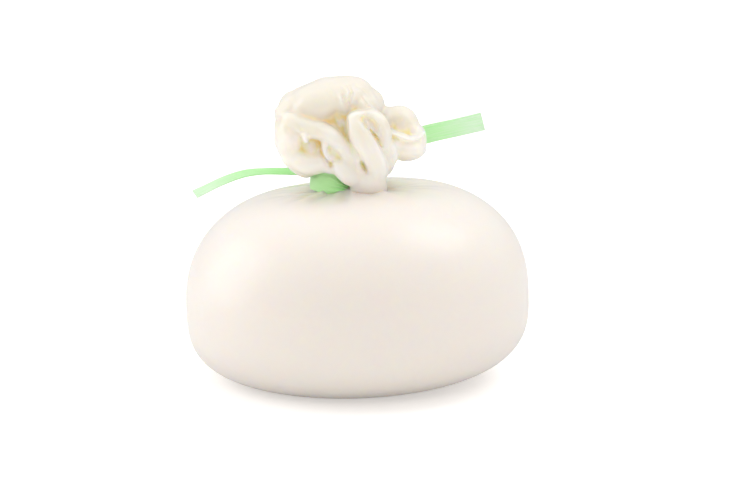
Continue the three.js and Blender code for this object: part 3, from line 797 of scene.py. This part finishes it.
# ---- Curd's surface ---------------------------------------------------------------------
# Moist stretched curd: ivory, a little translucent, with a smooth wet skin. The creases and
# hollows are painted gold, a painted shade for the warm light that glows through the curd there;
# the ridges are painted lighter, painted light, and the top of the dome is painted darker, a
# painted shade. The tints are mixed from the depth of each point of the finished skin.

CURD_SKIN = (0.866, 0.808, 0.752)     # the pouch
CURD_IVORY = (0.938, 0.838, 0.768)    # the head, clouded from one to the other
CURD_PALE = (0.945, 0.862, 0.792)
CURD_CROWN_SHADE = (0.812, 0.765, 0.675)    # painted shade on the top of the dome
CURD_RIDGE_LIGHT = (0.985, 0.93, 0.86)      # painted light on ridges
CURD_HOLLOW_SHADE = (0.983, 0.917, 0.808)     # painted shade in hollows and creases, warm for the light through the curd
CURD_DEEP_SHADE = (0.95, 0.825, 0.46)      # deeper painted shade in creases at the bottom of a hollow
CROWN_HEIGHTS = (64.0, 70.0)
HEAD_FADE = 3.0
# a hollow is measured against a more smoothed skin than a crease is
CREASE_PASSES = 14
HOLLOW_PASSES = 170
CREASE_DEPTHS = (0.03, 0.30)
HOLLOW_DEPTHS = (0.15, 1.8)
RIDGE_HEIGHTS = (-1.2, -2.6)
CREASE_STRENGTH = 0.5
CLOUD_SCALE = 90.0
DIMPLE_SCALE = 260.0
STRAND_SCALE = 420.0
STRAND_SHARE = 0.35
RELIEF_STRENGTH = 0.35
RELIEF_DEPTH = 0.5
TRANSLUCENT_REACH = (7.5, 6.0, 3.8)


def hollowness(mesh, passes):
    """How deep each vertex lies, in mm, below the skin smoothed by some passes of moving every
    vertex to the middle of its neighbours. Ridges are negative."""
    points, normals = read_skin(mesh)
    points = points / MM
    edges = np.empty(len(mesh.edges) * 2, int)
    mesh.edges.foreach_get("vertices", edges)
    one, other = edges.reshape(-1, 2).T
    ends, starts = np.concatenate([one, other]), np.concatenate([other, one])
    count = len(points)
    neighbours = np.maximum(np.bincount(ends, minlength=count), 1)
    smooth = points.copy()
    for _ in range(passes):
        smooth = np.stack([np.bincount(ends, smooth[starts, k], count) for k in range(3)], axis=1)
        smooth /= neighbours[:, None]
    return ((smooth - points) * normals).sum(axis=1)


def keep_attribute(mesh, name, values, span):
    """Stores values as a point attribute, scaled so that span becomes 0..1."""
    kept = mesh.attributes.new(name, "FLOAT", "POINT")
    kept.data.foreach_set("value", np.clip((values - span[0]) / (span[1] - span[0]), 0, 1))


def blend(tree, factor, colour_a, colour_b):
    """Mixes two colours, each a tuple or an output socket, by the factor socket."""
    made = tree.nodes.new("ShaderNodeMix")
    made.data_type = "RGBA"
    for socket, colour in ((made.inputs["A"], colour_a), (made.inputs["B"], colour_b)):
        if isinstance(colour, tuple):
            socket.default_value = (*colour, 1.0)
        else:
            tree.links.new(colour, socket)
    tree.links.new(factor, made.inputs["Factor"])
    return made.outputs["Result"]


def noise(tree, place, scale, detail, stretch=(1.0, 1.0, 1.0)):
    """A noise texture over the place socket, stretched along the axes."""
    turned = tree.nodes.new("ShaderNodeMapping")
    turned.inputs["Scale"].default_value = stretch
    made = tree.nodes.new("ShaderNodeTexNoise")
    made.inputs["Scale"].default_value = scale
    made.inputs["Detail"].default_value = detail
    tree.links.new(place, turned.inputs["Vector"])
    tree.links.new(turned.outputs["Vector"], made.inputs["Vector"])
    return made.outputs["Fac"]


def point_value(tree, name):
    """The point attribute of that name, as an output socket."""
    made = tree.nodes.new("ShaderNodeAttribute")
    made.attribute_name = name
    return made.outputs["Fac"]


def relief(tree, height, strength, depth):
    """The normal of a surface that the height socket raises by up to depth, in mm."""
    made = tree.nodes.new("ShaderNodeBump")
    made.inputs["Strength"].default_value = strength
    made.inputs["Distance"].default_value = depth * MM
    tree.links.new(height, made.inputs["Height"])
    return made.outputs["Normal"]


heights = read_skin(curd.data)[0][:, 2] / MM
in_head = np.clip((heights - TIE[2]) / HEAD_FADE + 0.5, 0, 1)
crease_depths = hollowness(curd.data, CREASE_PASSES) * in_head
hollow_depths = hollowness(curd.data, HOLLOW_PASSES) * in_head
keep_attribute(curd.data, "crease", crease_depths, CREASE_DEPTHS)
keep_attribute(curd.data, "in_head", in_head, (0, 1))
keep_attribute(curd.data, "crown", heights, CROWN_HEIGHTS)
keep_attribute(curd.data, "hollow", hollow_depths, HOLLOW_DEPTHS)
keep_attribute(curd.data, "ridge", hollow_depths, RIDGE_HEIGHTS)

moist_curd = bpy.data.materials.new("moist_curd")
moist_curd.use_nodes = True
curd_tree = moist_curd.node_tree
curd_place = curd_tree.nodes.new("ShaderNodeTexCoord").outputs["Object"]
crease = point_value(curd_tree, "crease")
hollow = point_value(curd_tree, "hollow")
clouds = ramp(curd_tree, noise(curd_tree, curd_place, CLOUD_SCALE, 2.0), (0.35, 0.65), (0.0, 1.0))
sheet = blend(curd_tree, clouds, CURD_IVORY, CURD_PALE)
# painted shade: the top of the dome is painted darker
crown_shaded = blend(curd_tree, point_value(curd_tree, "crown"), sheet, CURD_CROWN_SHADE)
milky = blend(curd_tree, point_value(curd_tree, "in_head"), CURD_SKIN, crown_shaded)
# painted light: the ridges are painted lighter
ridge_lit = blend(curd_tree, point_value(curd_tree, "ridge"), milky, CURD_RIDGE_LIGHT)
# painted shade: hollows and creases are tinted gold, deepest where a crease lies in a hollow
hollow_shaded = blend(curd_tree, hollow, ridge_lit, CURD_HOLLOW_SHADE)
faint_crease = ramp(curd_tree, crease, (0.0, 1.0), (0.0, CREASE_STRENGTH))
crease_shaded = blend(curd_tree, faint_crease, hollow_shaded, CURD_HOLLOW_SHADE)
deep_shaded = blend(curd_tree, maths(curd_tree, "MULTIPLY", hollow, crease), crease_shaded, CURD_DEEP_SHADE)
dimples = noise(curd_tree, curd_place, DIMPLE_SCALE, 3.0)
strands = noise(curd_tree, curd_place, STRAND_SCALE, 4.0, stretch=(1.0, 1.0, 0.25))
curd_height = maths(curd_tree, "MULTIPLY_ADD", strands, STRAND_SHARE, dimples)
curd_normal = relief(curd_tree, curd_height, RELIEF_STRENGTH, RELIEF_DEPTH)

curd_shader = curd_tree.nodes["Principled BSDF"]
curd_tree.links.new(deep_shaded, curd_shader.inputs["Base Color"])
curd_tree.links.new(curd_normal, curd_shader.inputs["Normal"])
curd_shader.inputs["Roughness"].default_value = 0.38
curd_shader.inputs["Subsurface Weight"].default_value = 1.0
curd_shader.inputs["Subsurface Radius"].default_value = [reach * MM for reach in TRANSLUCENT_REACH]
curd_shader.inputs["Subsurface Scale"].default_value = 1.0
curd_shader.inputs["Coat Weight"].default_value = 0.35
curd_shader.inputs["Coat Roughness"].default_value = 0.18
curd.data.materials.clear()
curd.data.materials.append(moist_curd)
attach(curd, "root")
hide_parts("pouch")

# ---- Ribbon -----------------------------------------------------------------------------
# A thin pale green strip of woven stuff with fine lengthwise ribs: it is wound round the neck,
# gathered to a narrow pleated waist in front and knotted behind, with two cut tails.

RIBBON_THICKNESS = 0.22
RIBBON_ROWS = 220
RIBBON_LINES = 41
WRAP_RADIUS = 8.65
# the wrap's stops: bearing in degrees, width, height of the middle above the tie's centre
WRAP = [
    (0, 4.0, 0.9), (60, 4.4, 1.3), (105, 4.6, 1.4), (150, 4.6, 1.0), (190, 4.2, 0.5),
    (220, 4.7, 0.6), (236, 5.3, 0.8), (248, 6.2, 0.75), (259, 4.9, 0.3), (268, 2.8, 0.0),
    (278, 1.5, -0.4), (290, 1.3, -0.4), (305, 1.7, -0.2), (330, 3.0, 0.4), (360, 4.0, 0.9),
]
WAIST_ANGLE = math.radians(282)
WAIST_REACH = math.radians(30)
WAIST_PLEATS = 3.5
PLEAT_RISE = 0.5
WRAP_EVENING = 25
EDGE_CRIMPS = 34
CRIMP_RISE = 0.12
WRAP_WAVES = 7
WRAP_WAVE_RISE = 0.1
KNOT = np.array([-0.6, 8.9, 1.6])
KNOT_HALF = (2.3, 1.1, 2.7)
KNOT_STEPS = 96
TAIL_WIDTH = 5.0
TAIL_START_WIDTH = 0.55
TAIL_WIDENING = 0.16
LEFT_FLUTTER = 0.12
RIGHT_FLUTTER = 0.2
LEFT_TAIL = [
    [-1, 9.6, 1.6], [-4, 11.5, 1.3], [-9.4, 12.4, 1.1], [-16.9, 12.8, 0.9], [-23.2, 12.9, 0.8],
    [-28.5, 12, 0.3], [-34.2, 10.3, -1.4], [-41.5, 8.3, -4.7],
]
LEFT_AXES = [
    [0, 0.2, 1], [0, 0.8, 0.5], [0, 0.95, 0.3], [0, 1, 0.16], [0, 1, 0.18], [0.1, 1, 0.3],
    [0.2, 1, 0.4], [0.2, 1, 0.42],
]
RIGHT_TAIL = [
    [-1, 9.6, 1.6], [4, 13.2, 2.6], [9, 15.4, 5.4], [15.5, 15.6, 8.8], [22.3, 14.6, 11],
    [29, 13.4, 12.7], [36.5, 12.4, 14.6],
]
RIGHT_AXES = [
    [0, 0.2, 1], [-0.2, 0.1, 1], [-0.25, 0.1, 1], [-0.25, 0, 1], [-0.25, 0, 1],
    [-0.25, -0.1, 1], [-0.22, -0.15, 1],
]


def strip(centre, axis, half_width, rise, closed=False):
    """A thin solid strip. Row t holds the points centre(t) + v * half_width(t) * axis(t) for v
    from -1 to 1, moved out along the sheet's normal by rise(t, v) and by plus or minus half
    the thickness. Returns the points, the faces and the two surface coordinates in mm."""
    rows, lines = len(centre), RIBBON_LINES
    if closed:
        tangent = np.roll(centre, -1, axis=0) - np.roll(centre, 1, axis=0)
    else:
        tangent = np.gradient(centre, axis=0)
    along = np.r_[0, np.cumsum(np.linalg.norm(np.diff(centre, axis=0), axis=1))]
    tangent /= np.linalg.norm(tangent, axis=1)[:, None]
    axis = axis - (axis * tangent).sum(axis=1)[:, None] * tangent
    axis /= np.linalg.norm(axis, axis=1)[:, None]
    normal = np.cross(tangent, axis)
    v = np.linspace(-1, 1, lines)
    flat = centre[:, None] + axis[:, None] * (half_width[:, None] * v)[:, :, None]
    lift = rise(np.linspace(0, 1, rows)[:, None], v[None, :]) + np.zeros((rows, lines))
    half = RIBBON_THICKNESS / 2
    outer = flat + normal[:, None] * (lift + half)[:, :, None]
    inner = flat + normal[:, None] * (lift - half)[:, :, None]
    ring = np.concatenate([outer, inner[:, ::-1]], axis=1)
    around = 2 * lines
    i = np.arange(rows if closed else rows - 1)[:, None] * around
    ahead = (i + around) % (rows * around)
    j = np.arange(around)[None, :]
    k = (j + 1) % around
    faces = np.stack([i + j, ahead + j, ahead + k, i + k], axis=-1).reshape(-1, 4).tolist()
    if not closed:
        first = np.arange(lines - 1)
        start = np.stack([first, first + 1, around - 2 - first, around - 1 - first], axis=-1)
        faces += start.tolist() + (start[:, ::-1] + (rows - 1) * around).tolist()
    across = np.concatenate([v, v[::-1]])[None, :] * half_width[:, None]
    return ring.reshape(-1, 3), faces, np.stack([along[:, None] + 0 * across, across], axis=-1)


def wrap_strip():
    """The ring round the neck: a band on a circle, with its width and height from WRAP evened
    out along it. The pleats are a cosine across the band that deepens towards the waist, the
    crimps a fast wave that grows with the cube of the distance above the middle."""
    turn = np.linspace(0, 2 * math.pi, RIBBON_ROWS * 2, endpoint=False)
    stops = np.array(WRAP, float)
    kernel = np.hanning(WRAP_EVENING) / np.hanning(WRAP_EVENING).sum()
    pad = WRAP_EVENING // 2

    def even_out(column):
        """The column of WRAP at every turn, averaged over its neighbours round the ring."""
        values = np.interp(np.degrees(turn), stops[:, 0], stops[:, column])
        return np.convolve(np.r_[values[-pad:], values, values[:pad]], kernel, "valid")

    centre = np.stack([WRAP_CENTRE + WRAP_RADIUS * np.cos(turn), WRAP_RADIUS * np.sin(turn),
                       even_out(2)], axis=1)
    axis = np.tile([0.0, 0.0, 1.0], (len(turn), 1))

    def rise(t, v):
        """Pleats near the waist, crimps along the upper edge and a slow wave."""
        bearing = t * 2 * math.pi
        off = np.angle(np.exp(1j * (bearing - WAIST_ANGLE)))
        near = np.exp(-((off / WAIST_REACH) ** 2))
        pleats = PLEAT_RISE * near * np.cos(math.pi * WAIST_PLEATS * v + 0.6)
        crimps = np.sin(EDGE_CRIMPS * bearing + 2 * np.sin(5 * t)) * np.clip(v, 0, 1) ** 3
        waves = np.sin(WRAP_WAVES * bearing + 2 * v)
        return pleats + CRIMP_RISE * crimps + WRAP_WAVE_RISE * waves

    return strip(centre, axis, even_out(1) / 2, rise, closed=True)


def knot_strip():
    """The short loop of the knot that holds the crossing of the two tails: a band on a flat
    ellipse, swung a little to the sides, and slightly wider and narrower by turns."""
    turn = np.linspace(0, 2 * math.pi, KNOT_STEPS, endpoint=False)
    centre = KNOT + np.stack([0.3 * np.sin(turn * 2), KNOT_HALF[1] * np.cos(turn),
                              KNOT_HALF[2] * np.sin(turn)], axis=1)
    axis = np.tile([-1.0, 0.0, 0.0], (len(turn), 1))
    half_width = KNOT_HALF[0] * (0.86 + 0.14 * np.cos(turn * 2 + 1))

    def rise(t, v):
        """A few pleats across, and both edges bent inwards."""
        return 0.22 * np.cos(5 * v + 2 * np.sin(2 * math.pi * t)) - 0.25 * v ** 2

    return strip(centre, axis, half_width, rise, closed=True)


def tail_strip(stations, axes, flutter):
    """A tail along a smooth path: narrow and creased where it leaves the knot, then of full
    width, waving by flutter along its length and cupped a little across."""
    t = np.linspace(0, 1, RIBBON_ROWS)
    centre = smooth_path(np.array(stations, float), t)
    reach = np.r_[0, np.cumsum(np.linalg.norm(np.diff(stations, axis=0), axis=1))]
    reach /= reach[-1]
    axis = np.stack([np.interp(t, reach, np.array(axes)[:, k]) for k in range(3)], axis=1)
    widened = np.clip(t / TAIL_WIDENING, 0, 1) ** 0.7
    half_width = TAIL_WIDTH / 2 * (TAIL_START_WIDTH + (1 - TAIL_START_WIDTH) * widened)

    def rise(t, v):
        """Creases near the knot, a slow wave, and the cupped section."""
        creases = 0.5 * np.exp(-((t / 0.12) ** 2)) * np.cos(6 * v)
        return creases + flutter * np.sin(9 * t + v) + 0.12 * (v ** 2 - 0.4)

    return strip(centre, axis, half_width, rise)


ribbon_strips = [
    wrap_strip(),
    knot_strip(),
    tail_strip(LEFT_TAIL, LEFT_AXES, LEFT_FLUTTER),
    tail_strip(RIGHT_TAIL, RIGHT_AXES, RIGHT_FLUTTER),
]
ribbon = gather_forms("ribbon", [(points, faces) for points, faces, _ in ribbon_strips], TIE)

on_sheet = np.vstack([along_across.reshape(-1, 2) for _, _, along_across in ribbon_strips])
corners = np.empty(len(ribbon.data.loops), int)
ribbon.data.loops.foreach_get("vertex_index", corners)
ribbon_map = ribbon.data.uv_layers.new(name="surface_mm")
ribbon_map.data.foreach_set("uv", on_sheet[corners].ravel())

# 0 on the wrap and the knot, and from 0 to 1 along each tail
held = np.zeros(sum(len(points) for points, _, _ in ribbon_strips[:2]))
tail_part = np.repeat(np.linspace(0, 1, RIBBON_ROWS), 2 * RIBBON_LINES)
keep_attribute(ribbon.data, "free", np.r_[held, tail_part, tail_part], (0, 1))

with_normals = bmesh.new()
with_normals.from_mesh(ribbon.data)
bmesh.ops.recalc_face_normals(with_normals, faces=with_normals.faces)
with_normals.to_mesh(ribbon.data)
with_normals.free()

# the wrap and knot are a deeper green for the doubled stuff and painted shade; the tails are paler,
# a painted backlight
RIBBON_HELD_DOUBLED_SHADE = (0.58, 1.0, 0.47)
RIBBON_FREE_BACKLIT = (0.87, 1.0, 0.85)
RIBBON_STREAK = (0.52, 0.97, 0.42)
RIBS_PER_MM = 3.2
RIB_SHARE = 0.5
STREAK_STRETCH = (0.12, 2.6, 1.0)
STREAK_STRENGTH = 0.5
WEAVE_STRENGTH = 0.5
WEAVE_DEPTH = 0.06

weave = bpy.data.materials.new("mint_ribbon")
weave.use_nodes = True
weave_tree = weave.node_tree
weave_map = weave_tree.nodes.new("ShaderNodeUVMap")
weave_map.uv_map = "surface_mm"
weave_place = weave_map.outputs["UV"]
weave_split = weave_tree.nodes.new("ShaderNodeSeparateXYZ")
weave_tree.links.new(weave_place, weave_split.inputs[0])
rib_phase = maths(weave_tree, "MULTIPLY", weave_split.outputs["Y"], RIBS_PER_MM * 2 * math.pi)
ribs = maths(weave_tree, "SINE", rib_phase)
streaks = noise(weave_tree, weave_place, 1.0, 3.0, STREAK_STRETCH)
weave_height = maths(weave_tree, "MULTIPLY_ADD", ribs, RIB_SHARE, streaks)
weave_normal = relief(weave_tree, weave_height, WEAVE_STRENGTH, WEAVE_DEPTH)
free = point_value(weave_tree, "free")
streaked = ramp(weave_tree, streaks, (0.45, 0.75), (0.0, STREAK_STRENGTH))
# painted light and shade: paler towards the free ends of the tails
backlit_tint = ramp(weave_tree, free, (0.1, 0.95), (0.0, 1.0))
free_light = ramp(weave_tree, free, (0.0, 0.4), (0.1, 0.6))
weave_even = blend(weave_tree, backlit_tint, RIBBON_HELD_DOUBLED_SHADE, RIBBON_FREE_BACKLIT)
weave_colour = blend(weave_tree, streaked, weave_even, RIBBON_STREAK)

# the thin tails let light through, more than the doubled stuff at the neck
weave_shader = weave_tree.nodes["Principled BSDF"]
glow = weave_tree.nodes.new("ShaderNodeBsdfTranslucent")
weave_mix = weave_tree.nodes.new("ShaderNodeMixShader")
weave_tree.links.new(weave_colour, weave_shader.inputs["Base Color"])
weave_tree.links.new(weave_normal, weave_shader.inputs["Normal"])
weave_shader.inputs["Roughness"].default_value = 0.45
weave_shader.inputs["Sheen Weight"].default_value = 0.15
weave_tree.links.new(weave_colour, glow.inputs["Color"])
weave_tree.links.new(free_light, weave_mix.inputs["Fac"])
weave_tree.links.new(weave_shader.outputs[0], weave_mix.inputs[1])
weave_tree.links.new(glow.outputs[0], weave_mix.inputs[2])
weave_out = weave_tree.nodes["Material Output"]
weave_tree.links.new(weave_mix.outputs[0], weave_out.inputs["Surface"])
ribbon.data.materials.append(weave)
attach(ribbon, "root")
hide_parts("ribbon_tie")
